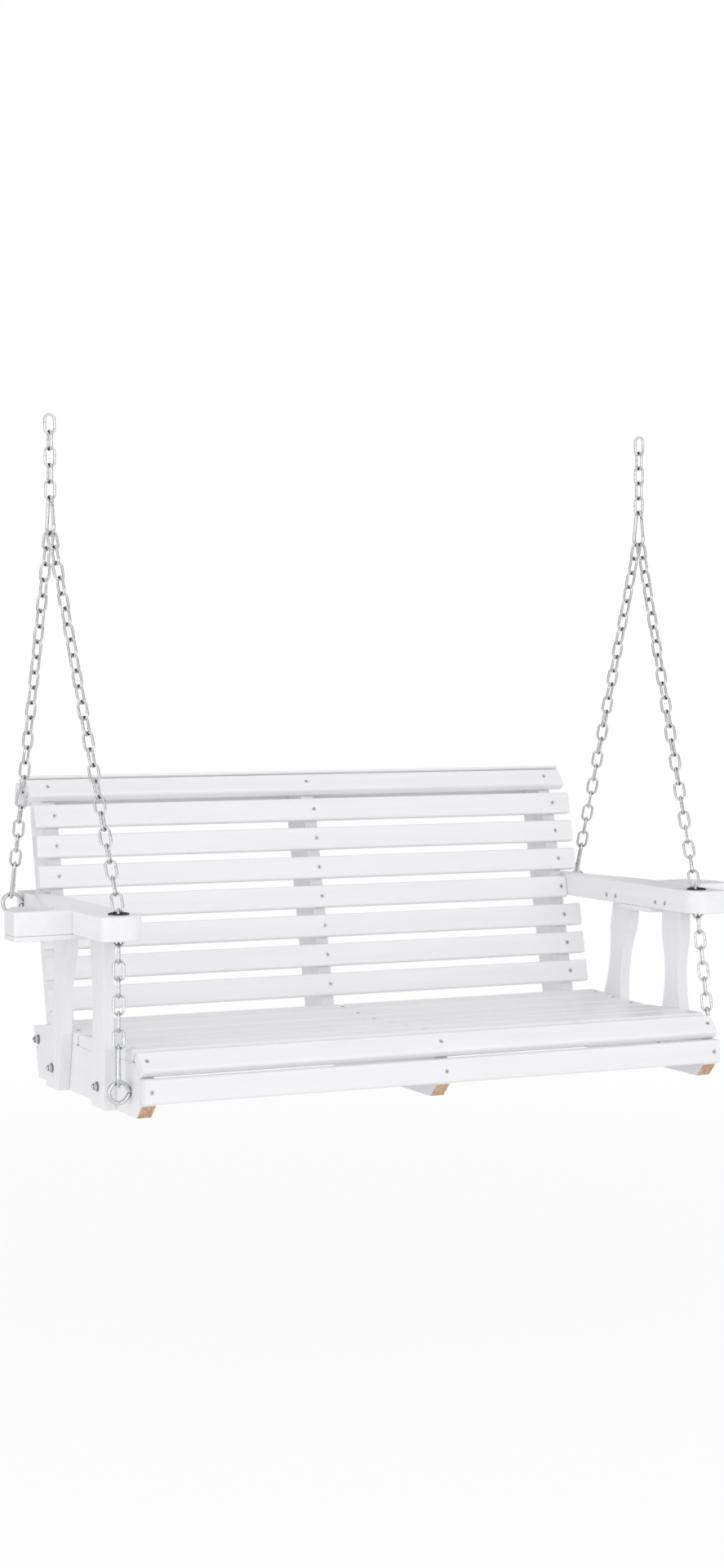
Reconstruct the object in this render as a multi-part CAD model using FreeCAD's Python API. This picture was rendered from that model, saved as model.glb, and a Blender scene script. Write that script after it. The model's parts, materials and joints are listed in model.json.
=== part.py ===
# A two-person porch swing: a slatted bench with a cup holder outside each arm, hung on chains.
# Millimetres. +X is to the right as seen from the front, -Y is to the front, +Z is up.
# The bench is drawn with its centre at X 0 and the apron's lower edge at Z 0, and everything is moved
# at the end so that the origin lies midway between the two hanging points.
import FreeCAD, Part
import math
import os

Vector = FreeCAD.Vector

# Slats
slat_length = 1172.0
slat_width = 44.0
slat_thickness = 22.0
slat_round = 4.5
edge_ease = 1.2
seat_slat_width = 65.0
seat_slat_gap = 6.6
seat_rear = 6.0
# Heights of the dished seat surface, from its rear edge to the front edge of each flat slat
seat_heights = (89.5, 86.7, 82.2, 81.5, 84.2, 88.0, 89.6)

# Tilted slat at the seat's front, and the upright apron under it
tilt_angle = 45.0
tilted_round = 6.0
apron_reach = 60.0
board_gap = 0.5
front_slat_shift = 1.8

# Seat supports
support_thickness = 26.5
support_bottom = -28.0
support_rear_bottom = 92.0
support_rear_top = (120.0, 67.6)
support_hump = (45.0, 78.0)
support_step_gap = 1.0
support_undercut = 24.0
support_ledge = 6.0
support_tip = 4.0

# Back
lean_slope = 0.228
back_support_depth = 81.0
top_back_slat = 470.5
back_slat_spacing = 57.25
back_slat_count = 7
short_back_slat = 4
rail_rise = 38.5
rail_setback = 13.15
cap_overhang = 0.8
cap_lip = 5.5
cap_front_round = 3.0
rear_slat_offset = (100.8, -22.5)
rear_slat_lean = 9.0

# Arms
arm_bottom = 280.0
arm_thickness = 43.5
arm_width = 81.5
arm_setback = 54.0
arm_taper_start = -100.0
arm_taper_end = 70.0
arm_rear_width = 40.5
arm_rear = 180.0
arm_outer_round = 18.0
arm_inner_round = 36.0
arm_taper_round = 60.0
arm_rear_round = 6.0
arm_ease = 2.5

# Arm posts
post_thickness = 22.0
post_width = 70.5
post_waist = 47.0
post_lower_shoulder = 108.0
post_upper_shoulder = 252.0
front_post_setback = 178.5
rear_post_forward = 62.0

# Cup holders
holder_length = 108.0
holder_depth = 115.0
holder_front_gap = 0.25
holder_rear_gap = 2.25
holder_chamfer_side = 57.0
holder_chamfer_rear = 32.0
holder_front_round = 4.0
holder_rear_round = 6.0
cup_hole_radius = 37.0
cup_beyond_arm = 52.0
plate_thickness = 9.0

# Bolts, washers and nuts
bolt_radius = 4.0
bolt_head_radius = 10.0
bolt_head_height = 4.2
bolt_reach = 10.5
washer_radius = 9.0
washer_thickness = 1.6
nut_across_flats = 13.0
nut_height = 6.5
nut_chamfer = 1.0
hole_clearance = 0.1
end_bolt_place = (93.0, 44.0)
post_bolt_height = 10.0
post_bolt_offset = 1.5

# Screws
screw_head_radius = 4.2
screw_head_height = 2.6
screw_recess = 0.6
screw_radius = 2.1
screw_length = 42.0
arm_screw_rise = 14.0
arm_screw_sink = 4.0
arm_screw_pocket = 14.0
arm_screw_length = 42.0
arm_screw_drop = 27.0
arm_screw_inset = 17.5

# Eye bolts
eye_wire_radius = 3.75
eye_ring_radius = 18.25
eye_stand_off = 0.3
front_eye_setback = 70.0
front_eye_height = 14.5
rear_eye_y = 138.0
rear_eye_rise = 23.0
eye_bolt_end = 2.0

# Grommets in the arms
grommet_inset = 35.5
grommet_setback = 48.0
grommet_flange_radius = 18.9
grommet_flange_height = 3.0
grommet_bore_radius = 15.3
grommet_sleeve_radius = 17.4
grommet_sleeve_length = 9.0
grommet_rim_round = 2.4

# Chains
link_wire_radius = 2.3
link_inner_length = 30.25
link_inner_width = 13.5
contact_gap = 0.25
front_lower_links = 8
front_upper_links = 24
rear_links = 22
# An odd number, so that the lowest and the topmost link of the upper chain lie the same way
top_chain_links = 5
apex_beyond_support = 38.0
lower_chain_turn = -25.0
rear_chain_turn = -25.0

# Snap hooks
hook_wire_radius = 3.0
hook_length = 76.0
hook_wide_radius = 15.0
hook_narrow_radius = 8.0
# The apex hook lies nearly fore and aft, as the two chains pull it, with its gate to the front
apex_hook_turn = -85.0
# Each chain rests on the apex hook's bend this many degrees from its lowest point
gather_angle = 25.0
nose_length = 3.0
gate_nose_gap = 0.6
gate_radius = 2.6
gate_hinge_inset = 8.0
gate_pin_radius = 1.1
gate_pin_length = 5.0
gate_pin_clearance = 0.05
tongue_thickness = 2.0
tongue_clearance = 0.3
tongue_inset = 0.4
tongue_sink = 0.5
shoulder_gap = 1.4

# Derived places
seat_slat_count = len(seat_heights) - 1
seat_front = seat_rear - seat_slat_count * seat_slat_width - (seat_slat_count - 1) * seat_slat_gap
apron_front = seat_front - apron_reach
arm_front = apron_front + arm_setback
front_post_foot = apron_front + front_post_setback
holder_front = front_post_foot + post_width / 2 + holder_front_gap
holder_rear = holder_front + holder_depth
rear_post_top = holder_rear + holder_rear_gap + post_width / 2
rear_post_foot = rear_post_top + rear_post_forward
front_post_bolt_place = (front_post_foot + post_bolt_offset, post_bolt_height)
rear_post_bolt_place = (rear_post_foot - post_bolt_offset, post_bolt_height)
half_length = slat_length / 2
support_outer = half_length
support_inner = support_outer - support_thickness
back_inner = support_inner - support_thickness
arm_inner = support_inner
arm_outer = arm_inner + arm_width
arm_top = arm_bottom + arm_thickness
post_outer = support_outer + post_thickness
holder_outer = arm_outer + holder_length
lean_angle = math.degrees(math.atan(lean_slope))
lean_cosine = math.cos(math.radians(lean_angle))
lean_sine = math.sin(math.radians(lean_angle))
back_up = (lean_sine, lean_cosine)
back_rearward = (lean_cosine, -lean_sine)
link_bend_radius = link_inner_width / 2 + link_wire_radius
link_pitch = link_inner_length - contact_gap
link_half_reach = link_inner_length / 2 + link_wire_radius
wire_contact = link_wire_radius + hook_wire_radius + contact_gap
ring_contact = eye_wire_radius + hook_wire_radius + contact_gap
apex_offset = support_outer + apex_beyond_support
cup_centre = (arm_outer + cup_beyond_arm, (holder_front + holder_rear) / 2)
grommet_centre = (arm_inner + grommet_inset, arm_front + grommet_setback)
front_eye_place = (apron_front + front_eye_setback, front_eye_height)
rear_eye_place = (rear_eye_y, arm_bottom + rear_eye_rise)
arm_screw_height = arm_bottom + arm_screw_rise
back_slat_heights = [top_back_slat - index * back_slat_spacing for index in range(back_slat_count)]
rail_height = top_back_slat + rail_rise
top_rail_corner = (lean_slope * rail_height + rail_setback, rail_height)
rear_slat_corner = (top_rail_corner[0] + rear_slat_offset[0], top_rail_corner[1] + rear_slat_offset[1])


# Plain geometry helpers

def unit(vector):
    """The same direction with length one."""
    return vector * (1.0 / vector.Length)


def step(point, direction, distance):
    """The point that lies a distance along a direction, in the YZ plane."""
    return (point[0] + direction[0] * distance, point[1] + direction[1] * distance)


def tilted(angle):
    """The YZ direction that rises to the rear at an angle."""
    return (math.cos(math.radians(angle)), math.sin(math.radians(angle)))


def rounded_wire(corners, radii):
    """A closed wire through the corners, each rounded to its own radius."""
    count = len(corners)
    starts = []
    middles = []
    ends = []
    for index, corner in enumerate(corners):
        before = unit(corners[index - 1] - corner)
        after = unit(corners[(index + 1) % count] - corner)
        radius = radii[index]
        if radius == 0:
            starts.append(corner)
            middles.append(corner)
            ends.append(corner)
            continue
        half_angle = before.getAngle(after) / 2
        reach = radius / math.tan(half_angle)
        centre = corner + unit(before + after) * (radius / math.sin(half_angle))
        starts.append(corner + before * reach)
        middles.append(centre + unit(corner - centre) * radius)
        ends.append(corner + after * reach)
    edges = []
    for index in range(count):
        if radii[index] > 0:
            edges.append(Part.Arc(starts[index], middles[index], ends[index]).toShape())
        following = (index + 1) % count
        if (starts[following] - ends[index]).Length > 1e-6:
            edges.append(Part.makeLine(ends[index], starts[following]))
    return Part.Wire(edges)


def yz_board(corners, radii, low, high, ease=0.0):
    """A board with its outline in the YZ plane, between two X values, its two end outlines eased."""
    wire = rounded_wire([Vector(low, y, z) for y, z in corners], radii)
    board = Part.Face(wire).extrude(Vector(high - low, 0, 0))
    return ease_ends(board, low, high, 0, ease)


def xy_board(corners, radii, low, high, ease=0.0):
    """A board with its outline in the XY plane, between two heights, its two end outlines eased."""
    wire = rounded_wire([Vector(x, y, low) for x, y in corners], radii)
    board = Part.Face(wire).extrude(Vector(0, 0, high - low))
    return ease_ends(board, low, high, 2, ease)


def ease_ends(board, low, high, axis, ease):
    """Round the edges around the two end faces of a straight board."""
    if ease == 0:
        return board
    chosen = []
    for edge in board.Edges:
        values = [vertex.Point[axis] for vertex in edge.Vertexes]
        at_low = all(abs(value - low) < 1e-4 for value in values)
        at_high = all(abs(value - high) < 1e-4 for value in values)
        if at_low or at_high:
            chosen.append(edge)
    return board.makeFillet(ease, chosen)


def cross_section(corner, along, inward, width, thickness):
    """The four corners of a rectangular section that starts at one corner."""
    far = step(corner, along, width)
    return [corner, far, step(far, inward, thickness), step(corner, inward, thickness)]


def slat(section, length=slat_length, radius=slat_round):
    """A slat along X, centred, with rounded long edges and eased ends."""
    return yz_board(section, [radius] * len(section), -length / 2, length / 2, edge_ease)


def both_sides(shape):
    """The left and the right copy of a shape that was drawn on the right."""
    return [shape.mirror(Vector(0, 0, 0), Vector(1, 0, 0)), shape]


def cylinder(start, direction, radius, length):
    """A round bar."""
    return Part.makeCylinder(radius, length, start, direction)


# Fasteners: each is a solid, and a matching cutter that is larger by the hole clearance

def screw_place(start, direction, length=screw_length, pocket=0.0):
    """A countersunk wood screw and its cutter, sunk slightly below the surface or in a deep pocket."""
    direction = unit(direction)
    seat = start + direction * screw_recess
    head = Part.makeCone(screw_head_radius, screw_radius, screw_head_height, seat, direction)
    shank = cylinder(seat, direction, screw_radius, length)
    screw = head.fuse(shank).removeSplitter()
    pocket = pocket + screw_recess
    mouth = seat - direction * pocket
    cutter_head = Part.makeCone(
        screw_head_radius + hole_clearance, screw_radius + hole_clearance, screw_head_height, seat, direction
    )
    cutter_mouth = cylinder(mouth, direction, screw_head_radius + hole_clearance, pocket)
    cutter_shank = cylinder(seat, direction, screw_radius + hole_clearance, length + hole_clearance)
    cutter = cutter_head.multiFuse([cutter_mouth, cutter_shank])
    return screw, cutter


def hex_nut(start, direction, around):
    """A hexagon nut standing on a surface."""
    direction = unit(direction)
    across = unit(direction.cross(around))
    other = direction.cross(across)
    corner_radius = nut_across_flats / math.sqrt(3)
    points = []
    for index in range(7):
        angle = math.radians(60 * index)
        spoke = across * math.cos(angle) + other * math.sin(angle)
        points.append(start + spoke * corner_radius)
    blank = Part.Face(Part.makePolygon(points)).extrude(direction * nut_height)
    straight = nut_height - 2 * nut_chamfer
    wide_radius = corner_radius + nut_chamfer
    narrow_radius = corner_radius - nut_chamfer
    cone_start = start + direction * straight
    cone = Part.makeCone(wide_radius, narrow_radius, 2 * nut_chamfer, cone_start, direction)
    envelope = cylinder(start, direction, wide_radius, straight).fuse(cone)
    hole = cylinder(start, direction, bolt_radius + hole_clearance, nut_height)
    return blank.common(envelope).cut(hole)


def washer(start, direction):
    """A flat washer lying on a surface."""
    disc = cylinder(start, direction, washer_radius, washer_thickness)
    return disc.cut(cylinder(start, direction, bolt_radius + hole_clearance, washer_thickness))


def carriage_bolt(head_x, nut_x, y, z):
    """A domed bolt from an inner face to an outer face, with its washer, nut and cutter."""
    outward = Vector(1, 0, 0)
    head_face = Vector(head_x, y, z)
    nut_face = Vector(nut_x, y, z)
    reach = nut_x - head_x
    dome_radius = (bolt_head_radius ** 2 + bolt_head_height ** 2) / (2 * bolt_head_height)
    half_angle = math.asin(bolt_head_radius / dome_radius) / 2

    def place(along, radius):
        return head_face + Vector(along, radius, 0)

    top = place(-bolt_head_height, 0)
    rim = place(0, bolt_head_radius)
    drop = dome_radius * (1 - math.cos(half_angle))
    on_dome = place(drop - bolt_head_height, dome_radius * math.sin(half_angle))
    end = reach + bolt_reach
    outline = Part.Wire([
        Part.Arc(top, on_dome, rim).toShape(),
        Part.makeLine(rim, place(0, bolt_radius)),
        Part.makeLine(place(0, bolt_radius), place(end, bolt_radius)),
        Part.makeLine(place(end, bolt_radius), place(end, 0)),
        Part.makeLine(place(end, 0), top),
    ])
    bolt = Part.Face(outline).revolve(head_face, outward, 360)
    cutter = cylinder(head_face, outward, bolt_radius + hole_clearance, reach)
    ring = washer(nut_face, outward)
    nut = hex_nut(nut_face + outward * washer_thickness, outward, Vector(0, 0, 1))
    return bolt, ring, nut, cutter


# Chain links and hooks, each drawn round its own +Z axis and then placed

def placement(origin, along, across):
    """Puts local +Z along one direction and local +X as near as possible to another."""
    z_axis = unit(along)
    y_axis = unit(z_axis.cross(across))
    x_axis = y_axis.cross(z_axis)
    return FreeCAD.Placement(origin, FreeCAD.Rotation(x_axis, y_axis, z_axis, "ZXY"))


def turned(along, across, angle):
    """The across direction, turned about the along direction."""
    return FreeCAD.Rotation(along, angle).multVec(across)


def placed(shape, place):
    """A copy of a shape at a placement."""
    copy = shape.copy()
    copy.Placement = place
    return copy


def swept_wire(path_edges, radius):
    """A round wire along a path that starts square to its profile."""
    path = Part.Wire(path_edges)
    first = path_edges[0]
    start = first.valueAt(first.FirstParameter)
    direction = first.tangentAt(first.FirstParameter)
    profile = Part.Wire(Part.makeCircle(radius, start, direction))
    return path.makePipeShell([profile], True, False)


def make_link():
    """One oval chain link in the local XZ plane, centred on the origin."""
    half_straight = link_inner_length / 2 + link_wire_radius - link_bend_radius
    parts = []
    for side in (-1, 1):
        start = Vector(side * link_bend_radius, 0, side * half_straight)
        disc = Part.Face(Part.Wire(Part.makeCircle(link_wire_radius, start, Vector(0, 0, 1))))
        parts.append(disc.revolve(Vector(0, 0, side * half_straight), Vector(0, -1, 0), 180))
        parts.append(disc.extrude(Vector(0, 0, -side * 2 * half_straight)))
    return parts[0].multiFuse(parts[1:]).removeSplitter()


def turn_between(along, start, end):
    """The turn about a direction, in degrees, that takes one crosswise direction to another."""
    sine = along.dot(start.cross(end))
    cosine = start.dot(end) - start.dot(along) * end.dot(along)
    return math.degrees(math.atan2(sine, cosine))


def run_of_links(link, low_contact, along, across, count, first_turn, last_turn):
    """Links from a lower wire centre upwards. Each is a quarter turn from the one below it."""
    links = []
    for index in range(count):
        share = index / max(count - 1, 1)
        turn = first_turn + (last_turn - first_turn) * share + 90 * index
        centre = low_contact + along * (link_half_reach + index * link_pitch)
        links.append(placed(link, placement(centre, along, turned(along, across, turn))))
    top_wire = low_contact + along * (2 * link_half_reach + (count - 1) * link_pitch)
    return links, top_wire


class HookOutline:
    """Centre line of the pear-shaped hook: local Z from the wide end to the narrow end, gate on +X."""

    def __init__(self):
        self.height = hook_length - 2 * hook_wire_radius
        self.wide_centre = hook_wide_radius
        self.narrow_centre = self.height - hook_narrow_radius
        spread = self.narrow_centre - self.wide_centre
        self.side_angle = math.asin((hook_wide_radius - hook_narrow_radius) / spread)
        cosine = math.cos(self.side_angle)
        sine = math.sin(self.side_angle)
        self.side_length = spread * cosine
        self.low = Vector(hook_wide_radius * cosine, 0, self.wide_centre + hook_wide_radius * sine)
        self.high = Vector(hook_narrow_radius * cosine, 0, self.narrow_centre + hook_narrow_radius * sine)
        self.side = unit(self.high - self.low)

    def on_side(self, distance):
        """A point on the gate side, measured up from the wide end's bend."""
        return self.low + self.side * distance


def make_hook(outline):
    """The hook's bent wire, its hinge tongue and the pin that the gate turns on."""
    hinge = outline.side_length - gate_hinge_inset
    shoulder = hinge + gate_radius + shoulder_gap
    mirrored_low = Vector(-outline.low.x, 0, outline.low.z)
    mirrored_high = Vector(-outline.high.x, 0, outline.high.z)
    nose = outline.on_side(nose_length)
    edges = [
        Part.makeLine(nose, outline.low),
        Part.Arc(outline.low, Vector(0, 0, 0), mirrored_low).toShape(),
        Part.makeLine(mirrored_low, mirrored_high),
        Part.Arc(mirrored_high, Vector(0, 0, outline.height), outline.high).toShape(),
        Part.makeLine(outline.high, outline.on_side(shoulder)),
    ]
    body = swept_wire(edges, hook_wire_radius)
    pin_centre = outline.on_side(hinge)
    normal = Vector(0, 1, 0)
    half = tongue_thickness / 2
    tongue_radius = gate_radius - tongue_inset
    round_end = cylinder(pin_centre - normal * half, normal, tongue_radius, tongue_thickness)
    block_length = shoulder - hinge + tongue_sink
    block = Part.makeBox(2 * tongue_radius, tongue_thickness, block_length, Vector(-tongue_radius, -half, 0))
    tongue = round_end.fuse(placed(block, placement(pin_centre, outline.side, Vector(1, 0, 0))))
    pin = cylinder(pin_centre - normal * (gate_pin_length / 2), normal, gate_pin_radius, gate_pin_length)
    hole_radius = gate_pin_radius + gate_pin_clearance
    hole = cylinder(pin_centre - normal * half, normal, hole_radius, tongue_thickness)
    hook = body.fuse(tongue).cut(hole).removeSplitter()
    return hook, pin


def make_gate(outline):
    """The spring gate: a round bar with a forked end over the hook's tongue."""
    hinge = outline.side_length - gate_hinge_inset
    pin_centre = outline.on_side(hinge)
    tip = outline.on_side(nose_length + gate_nose_gap)
    bar = cylinder(tip, outline.side, gate_radius, hinge - nose_length - gate_nose_gap)
    bar = bar.fuse(Part.makeSphere(gate_radius, pin_centre))
    slot_width = tongue_thickness + 2 * tongue_clearance
    slot_corner = Vector(-2 * gate_radius, -slot_width / 2, 0)
    slot = Part.makeBox(4 * gate_radius, slot_width, 3 * gate_radius, slot_corner)
    slot_start = pin_centre - outline.side * (gate_radius + tongue_inset)
    normal = Vector(0, 1, 0)
    hole_start = pin_centre - normal * gate_pin_length
    hole = cylinder(hole_start, normal, gate_pin_radius + gate_pin_clearance, 2 * gate_pin_length)
    bar = bar.cut(placed(slot, placement(slot_start, outline.side, Vector(1, 0, 0))))
    return bar.cut(hole).removeSplitter()


# Wooden pieces

def seat_slat_lines():
    """Top edges of the flat slats, rear to front: rear point and front point of each, in YZ."""
    lines = []
    for index in range(seat_slat_count):
        rear = seat_rear - index * (seat_slat_width + seat_slat_gap)
        lines.append(((rear, seat_heights[index]), (rear - seat_slat_width, seat_heights[index + 1])))
    return lines


def slat_underside(line):
    """The lower edges of one flat slat, square under its top edges."""
    rear, front = line
    run = (front[0] - rear[0], front[1] - rear[1])
    length = math.hypot(*run)
    downward = (-run[1] / length, run[0] / length)
    return step(rear, downward, slat_thickness), step(front, downward, slat_thickness)


def make_seat_slats():
    """The flat slats of the seat, each lying on its own stretch of the dish."""
    slats = []
    for line in seat_slat_lines():
        rear_low, front_low = slat_underside(line)
        slats.append(slat([line[0], line[1], front_low, rear_low]))
    return slats


def apron_section():
    """The upright apron's section, its lower edge at height zero."""
    return cross_section((apron_front, 0.0), (0.0, 1.0), (1.0, 0.0), slat_width, slat_thickness)


def front_slat_section():
    """The tilted front slat: its lower rear corner clears the apron's top rear corner."""
    apron_rear = apron_front + slat_thickness
    reach = board_gap * math.sqrt(2)
    lower_rear = (apron_rear + front_slat_shift, slat_width - front_slat_shift + reach)
    upward = tilted(tilt_angle)
    forward = (-upward[1], upward[0])
    return cross_section(lower_rear, upward, forward, slat_width, slat_thickness)


def seat_support_outline():
    """Outline of a seat support, from its rear bottom corner round over the seat to the front."""
    points = [(support_rear_bottom, support_bottom), support_rear_top, support_hump]
    lines = seat_slat_lines()
    step_y = seat_rear + support_step_gap
    hump_slope = (support_hump[1] - support_rear_top[1]) / (support_rear_top[0] - support_hump[0])
    step_top = support_hump[1] + (support_hump[0] - step_y) * hump_slope
    first_rear = slat_underside(lines[0])[0]
    points.append((step_y, step_top))
    points.append((step_y, first_rear[1]))
    for line in lines:
        rear_low, front_low = slat_underside(line)
        points.append(rear_low)
        points.append(front_low)
    section = front_slat_section()
    lower_rear = section[0]
    last_front = points[-1]
    rear_face_offset = lower_rear[0] - lower_rear[1]
    points.append((last_front[1] + rear_face_offset, last_front[1]))
    apron_rear = apron_front + slat_thickness
    points.append(lower_rear)
    points.append((apron_rear, lower_rear[1]))
    points.append((apron_rear, 0.0))
    tip_y = apron_rear - support_ledge
    points.append((tip_y, 0.0))
    points.append((tip_y, -support_tip))
    points.append((tip_y + support_undercut, support_bottom))
    return points


def make_seat_support(low, high):
    """One seat support between two X values."""
    outline = seat_support_outline()
    return yz_board(outline, [0.0] * len(outline), low, high)


def back_line(z, offset):
    """The point at a height on a line parallel to the back, a square distance behind the slats' front."""
    return (lean_slope * z + offset / lean_cosine, z)


def rail_section():
    """The tilted rail at the top of the back, from its lower front corner."""
    upward = tilted(tilt_angle)
    rearward = (upward[1], -upward[0])
    return cross_section(top_rail_corner, upward, rearward, slat_width, slat_thickness)


def cap_top_front():
    """Upper front corner of the cap board, a lip above the rail's top corner."""
    rail_top = rail_section()[1]
    return (rail_top[0] - cap_overhang, rail_top[1] + cap_lip + board_gap)


def rail_edge_height(y):
    """Height at a Y on the plane that lies just above the rail's upper edge."""
    rail_top = rail_section()[1]
    return rail_top[0] + rail_top[1] + board_gap * math.sqrt(2) - y


def cap_section():
    """The cap board: square to the back, its front lower edge bevelled to lie on the rail."""
    top_front = cap_top_front()
    top_rear = step(top_front, back_rearward, slat_width)
    bottom_rear = step(top_rear, back_up, -slat_thickness)
    lip_bottom = (top_front[0], rail_edge_height(top_front[0]))
    slope = -back_rearward[1] / back_rearward[0]
    level = bottom_rear[1] + slope * bottom_rear[0]
    bevel_y = (rail_edge_height(0.0) - level) / (1 - slope)
    return [top_front, top_rear, bottom_rear, (bevel_y, rail_edge_height(bevel_y)), lip_bottom]


def rear_slat_section():
    """The slat behind the back's top, from its lower outer corner."""
    upward = tilted(90 + rear_slat_lean)
    forward = (-upward[1], upward[0])
    return cross_section(rear_slat_corner, upward, forward, slat_width, slat_thickness)


def back_support_outline():
    """Outline of a back support, from its lower front corner up over the top and down the rear."""
    bottom = support_bottom
    front = slat_thickness
    rear = slat_thickness + back_support_depth
    rail = rail_section()
    rail_low = rail[3]
    rail_offset = rail_low[0] - rail_low[1]
    front_level = front / lean_cosine
    front_z = (front_level - rail_offset) / (1 - lean_slope)
    cap = cap_section()
    bevel_low = cap[3]
    rail_rear_top = rail[2]
    slat_low = rear_slat_section()[3]
    slat_high = rear_slat_section()[2]
    facet_slope = (slat_high[0] - slat_low[0]) / (slat_high[1] - slat_low[1])
    rear_level = rear / lean_cosine
    corner_z = (slat_low[0] - facet_slope * slat_low[1] - rear_level) / (lean_slope - facet_slope)
    cap_rear_low = cap[2]
    cap_slope = back_rearward[1] / back_rearward[0]
    level = cap_rear_low[1] - cap_slope * cap_rear_low[0]
    top_z = (level + cap_slope * (slat_low[0] - facet_slope * slat_low[1])) / (1 - cap_slope * facet_slope)
    top_y = slat_low[0] + facet_slope * (top_z - slat_low[1])
    return [
        back_line(bottom, front),
        (rail_offset + front_z, front_z),
        rail_rear_top,
        bevel_low,
        (top_y, top_z),
        (lean_slope * corner_z + rear_level, corner_z),
        back_line(bottom, rear),
    ]


def make_back_support(low, high):
    """One leaning back support between two X values."""
    outline = back_support_outline()
    return yz_board(outline, [0.0] * len(outline), low, high)


def make_back_slats():
    """The back slats from the top down. The short one ends at the arms."""
    slats = []
    for number, height in enumerate(back_slat_heights, start=1):
        centre = (lean_slope * height, height)
        corner = step(centre, back_up, -slat_width / 2)
        length = slat_length
        if number == short_back_slat:
            length = 2 * (arm_inner - board_gap)
        section = cross_section(corner, back_up, back_rearward, slat_width, slat_thickness)
        slats.append(slat(section, length))
    return slats


def make_arm():
    """The right arm, with the holes for the grommets."""
    rear_outer = arm_inner + arm_rear_width
    outline = [
        (arm_inner, arm_front),
        (arm_outer, arm_front),
        (arm_outer, arm_taper_start),
        (rear_outer, arm_taper_end),
        (rear_outer, arm_rear),
        (arm_inner, arm_rear),
    ]
    radii = [arm_inner_round, arm_outer_round, arm_taper_round, arm_taper_round, arm_rear_round, 0.0]
    arm = xy_board(outline, radii, arm_bottom, arm_top, arm_ease)
    centre = Vector(grommet_centre[0], grommet_centre[1], arm_bottom)
    return arm.cut(cylinder(centre, Vector(0, 0, 1), grommet_sleeve_radius + hole_clearance, arm_thickness))


def make_post(foot_y, forward):
    """A waisted post outside a seat support, its top moved forward by a distance."""
    height = arm_bottom - support_bottom

    def place(offset, rise):
        return Vector(support_outer, foot_y + offset - forward * rise / height, support_bottom + rise)

    half = post_width / 2
    waist = post_waist / 2
    low = post_lower_shoulder
    high = post_upper_shoulder
    middle = (low + high) / 2
    edges = [
        Part.makeLine(place(-half, 0), place(half, 0)),
        Part.makeLine(place(half, 0), place(half, low)),
        Part.Arc(place(half, low), place(waist, middle), place(half, high)).toShape(),
        Part.makeLine(place(half, high), place(half, height)),
        Part.makeLine(place(half, height), place(-half, height)),
        Part.makeLine(place(-half, height), place(-half, high)),
        Part.Arc(place(-half, high), place(-waist, middle), place(-half, low)).toShape(),
        Part.makeLine(place(-half, low), place(-half, 0)),
    ]
    post = Part.Face(Part.Wire(edges)).extrude(Vector(post_thickness, 0, 0))
    return ease_ends(post, support_outer, post_outer, 0, edge_ease)


def holder_outline(inner):
    """Outline of the holder or its plate: a rectangle with the rear outer corner cut off."""
    return [
        (inner, holder_front),
        (holder_outer, holder_front),
        (holder_outer, holder_rear - holder_chamfer_side),
        (holder_outer - holder_chamfer_rear, holder_rear),
        (inner, holder_rear),
    ]


def holder_radii():
    """Corner radii that go with the holder's outline."""
    return [0.0, holder_front_round, holder_rear_round, holder_rear_round, 0.0]


def make_holder():
    """The right cup holder block, flush with the arm's top."""
    block = xy_board(holder_outline(arm_outer), holder_radii(), arm_bottom, arm_top, arm_ease)
    centre = Vector(cup_centre[0], cup_centre[1], arm_bottom)
    return block.cut(cylinder(centre, Vector(0, 0, 1), cup_hole_radius, arm_thickness))


def make_holder_plate():
    """The thin plate under the holder and the arm, between the posts."""
    plate_bottom = arm_bottom - plate_thickness
    return xy_board(holder_outline(arm_inner), holder_radii(), plate_bottom, arm_bottom, edge_ease)


# Hardware on the bench

def make_eye_bolt(face_x, nut_x, y, z):
    """A ring in the XZ plane on a shank that runs inwards, with its washer, nut and cutter."""
    ring_x = face_x + eye_ring_radius + eye_wire_radius + eye_stand_off
    ring = Part.makeTorus(eye_ring_radius, eye_wire_radius, Vector(ring_x, y, z), Vector(0, 1, 0))
    inward = Vector(-1, 0, 0)
    start = Vector(ring_x - eye_ring_radius, y, z)
    length = start.x - nut_x + washer_thickness + nut_height + eye_bolt_end
    shank = cylinder(start, inward, bolt_radius, length)
    eye = ring.fuse(shank).removeSplitter()
    cutter = cylinder(Vector(face_x, y, z), inward, bolt_radius + hole_clearance, face_x - nut_x)
    seat = Vector(nut_x, y, z)
    disc = washer(seat, inward)
    nut = hex_nut(seat + inward * washer_thickness, inward, Vector(0, 0, 1))
    return eye, disc, nut, cutter, Vector(ring_x, y, z)


def make_grommet(surface_z, outward):
    """A grommet that lies on the arm and reaches into its hole."""
    axis = Vector(0, 0, outward)
    centre = Vector(grommet_centre[0], grommet_centre[1], surface_z)
    flange = cylinder(centre, axis, grommet_flange_radius, grommet_flange_height)
    outer_z = surface_z + outward * grommet_flange_height
    rim = []
    for edge in flange.Edges:
        box = edge.BoundBox
        if abs(box.ZMin - outer_z) < 1e-3 and abs(box.ZMax - outer_z) < 1e-3:
            rim.append(edge)
    flange = flange.makeFillet(grommet_rim_round, rim)
    sleeve_end = centre - axis * grommet_sleeve_length
    sleeve = cylinder(sleeve_end, axis, grommet_sleeve_radius, grommet_sleeve_length)
    bore = cylinder(sleeve_end, axis, grommet_bore_radius, grommet_sleeve_length + grommet_flange_height)
    return flange.fuse(sleeve).cut(bore).removeSplitter()


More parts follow.
